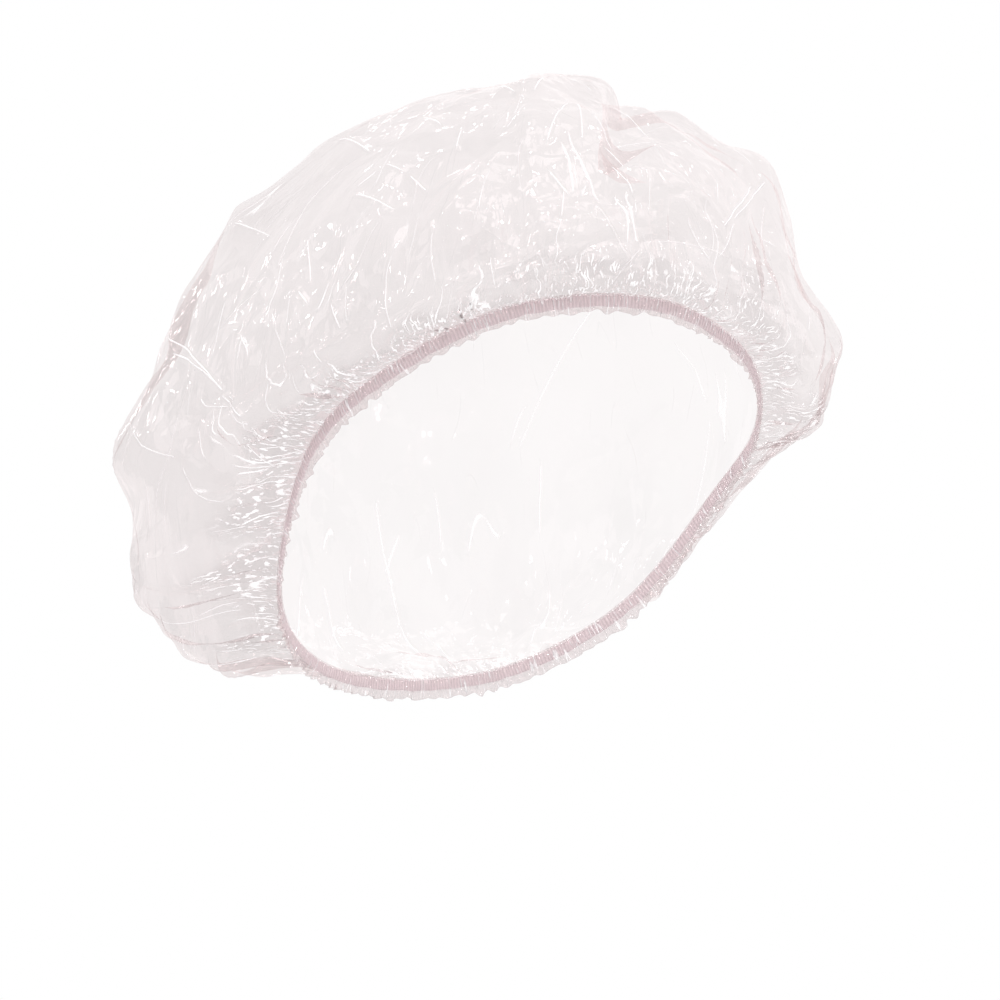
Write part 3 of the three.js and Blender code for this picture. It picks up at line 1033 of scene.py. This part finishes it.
# Lamps round the cap, ten small bright ones and four soft ones: degrees round from the face,
# degrees up, width and height in m, and watts.
STRIPS = (
    ("front_left", -75, 35, 0.04, 0.30, 0.67),
    ("front", -20, 50, 0.20, 0.04, 0.56),
    ("front_right", 35, 30, 0.04, 0.30, 0.67),
    ("front_low", -30, 12, 0.04, 0.20, 0.39),
    ("side_right", 80, 45, 0.04, 0.30, 0.56),
    ("side_left", -120, 25, 0.04, 0.30, 0.56),
    ("back", 170, 45, 0.30, 0.05, 0.56),
    ("back_left", -160, 15, 0.05, 0.30, 0.56),
    ("over", -30, 82, 0.24, 0.06, 0.67),
    ("low", -50, -10, 0.24, 0.04, 0.28),
    ("soft_left", -95, 20, 0.9, 0.9, 1.2),
    ("soft_right", 50, 55, 0.9, 0.9, 1.6),
    ("soft_back", 140, 20, 0.9, 0.7, 1.2),
    ("soft_top", -30, 65, 0.8, 0.5, 1.2),
)
LAMP_TARGET = Vector((0, 0.01, 0.035))
LAMP_DISTANCE = 1.6
AMBIENT = 1.35  # how bright the surroundings are for the light they give
FLOOR_RADIUS = 6.0
FLOOR_DROP = 0.06  # how far the floor is below the cap
BRIGHT_WAY = (0.64, -0.37, 0.67)  # where the mirrored surroundings are brightest
BACK_WAY = (0.5, 0.866, 0)  # straight behind the cap from the camera

CAMERA_BEARING = math.radians(-30)
CAMERA_DISTANCE = 1.3
CAMERA_LENS = 146.25
CAMERA_AIM = (-0.00544, 0.00128)  # m to the right and up


def lit_level(tree, path):
    """White where it is seen, and the ambient brightness where it lights the cap."""
    return range_node(tree, path["Is Diffuse Ray"], 0.0, 1.0, 1.0, AMBIENT)


def make_floor(scene):
    bm = bmesh.new()
    bmesh.ops.create_circle(bm, cap_ends=True, radius=FLOOR_RADIUS, segments=96)
    bmesh.ops.translate(bm, verts=bm.verts, vec=(0, 0, CAD_BOX[0].z - FLOOR_DROP))
    mesh = bpy.data.meshes.new("floor")
    bm.to_mesh(mesh)
    bm.free()
    floor = bpy.data.objects.new("floor", mesh)
    scene.collection.objects.link(floor)
    material = new_material("pale_floor")
    tree = material.node_tree
    path = add_node(tree, "ShaderNodeLightPath").outputs
    plain = add_node(tree, "ShaderNodeBsdfDiffuse", {"Color": (0.3, 0.3, 0.3, 1)})
    seen = add_node(tree, "ShaderNodeEmission",
                    {"Color": (1, 1, 1, 1), "Strength": lit_level(tree, path)})
    both = add_node(tree, "ShaderNodeMixShader",
                    {0: path["Is Glossy Ray"], 1: seen.outputs[0], 2: plain.outputs[0]})
    add_node(tree, "ShaderNodeOutputMaterial", {"Surface": both.outputs[0]})
    mesh.materials.append(material)


def make_world(scene):
    """White surroundings, mirrored in the film as darker on one side and brighter on the other."""
    world = bpy.data.worlds.new("studio")
    scene.world = world
    world.use_nodes = True
    tree = world.node_tree
    tree.nodes.clear()
    path = add_node(tree, "ShaderNodeLightPath").outputs
    way = add_node(tree, "ShaderNodeTexCoord").outputs["Generated"]
    toward, behind = (add_node(tree, "ShaderNodeVectorMath", {0: way, 1: to},
                               operation="DOT_PRODUCT").outputs["Value"]
                      for to in (BRIGHT_WAY, BACK_WAY))
    mirrored = math_node(tree, "ADD", range_node(tree, toward, -0.7, 0.7, 0.2, 0.8),
                         range_node(tree, behind, 0.35, 0.95, 0.0, 0.5))
    level = range_node(tree, path["Is Glossy Ray"], 0.0, 1.0, lit_level(tree, path), mirrored)
    seen = add_node(tree, "ShaderNodeBackground", {"Color": (1, 1, 1, 1), "Strength": level})
    add_node(tree, "ShaderNodeOutputWorld", {"Surface": seen.outputs[0]})


def make_camera(scene):
    back = Vector((math.sin(CAMERA_BEARING), -math.cos(CAMERA_BEARING), 0))
    right = Vector((math.cos(CAMERA_BEARING), math.sin(CAMERA_BEARING), 0))
    camera = bpy.data.objects.new("camera", bpy.data.cameras.new("camera"))
    camera.data.lens = CAMERA_LENS
    camera.data.clip_end = 50
    aim = right * CAMERA_AIM[0] + Vector((0, 0, CAMERA_AIM[1]))
    camera.location = aim + back * CAMERA_DISTANCE
    camera.rotation_euler = (-back).to_track_quat("-Z", "Y").to_euler()
    scene.collection.objects.link(camera)
    scene.camera = camera


class CAP_OT_stage(bpy.types.Operator):
    """Make the floor, the lights, the surroundings and the camera"""
    bl_idname = "shower_cap.stage"
    bl_label = "Stage"

    def execute(self, context):
        scene = context.scene
        make_floor(scene)
        make_world(scene)
        for name, around, up, wide, high, watts in STRIPS:
            around, up = math.radians(around), math.radians(up)
            way = Vector((math.sin(around) * math.cos(up), -math.cos(around) * math.cos(up),
                          math.sin(up)))
            area_light(name, LAMP_TARGET + LAMP_DISTANCE * way, LAMP_TARGET, (wide, high), watts)
        make_camera(scene)
        scene.view_settings.view_transform = "Standard"
        scene.cycles.transparent_max_bounces = 32
        return {"FINISHED"}


class CAP_PT_panel(bpy.types.Panel):
    """Lists the cap's pieces and settings"""
    bl_idname = "CAP_PT_panel"
    bl_label = "Shower Cap"
    bl_space_type = "VIEW_3D"
    bl_region_type = "UI"
    bl_category = "Shower Cap"

    def draw(self, context):
        layout = self.layout
        for name in ("flat_width", "grid", "hem_wide", "frill", "elastic_wide", "elastic_thick",
                     "crumple_high"):
            layout.prop(context.scene.cap_sizes, name)
        for name in ("film", "crease", "elastic"):
            layout.prop(context.scene.cap_colours, name)
        for operator in OPERATORS:
            layout.operator(operator.bl_idname)


OPERATORS = (CAP_OT_elastic, CAP_OT_hem, CAP_OT_film_bag, CAP_OT_stage)
CLASSES = (CapSizes, CapColours, *OPERATORS, CAP_PT_panel)


def register():
    for cls in CLASSES:
        bpy.utils.register_class(cls)
    bpy.types.Scene.cap_sizes = bpy.props.PointerProperty(type=CapSizes)
    bpy.types.Scene.cap_colours = bpy.props.PointerProperty(type=CapColours)


def unregister():
    del bpy.types.Scene.cap_colours
    del bpy.types.Scene.cap_sizes
    for cls in reversed(CLASSES):
        bpy.utils.unregister_class(cls)


def main():
    register()
    facet_group()
    streak_group()
    fleck_group()
    held_crease_group()
    bpy.ops.shower_cap.elastic()
    bpy.ops.shower_cap.hem()
    bpy.ops.shower_cap.film_bag()
    bpy.ops.shower_cap.stage()


if __name__ == "__main__":
    main()
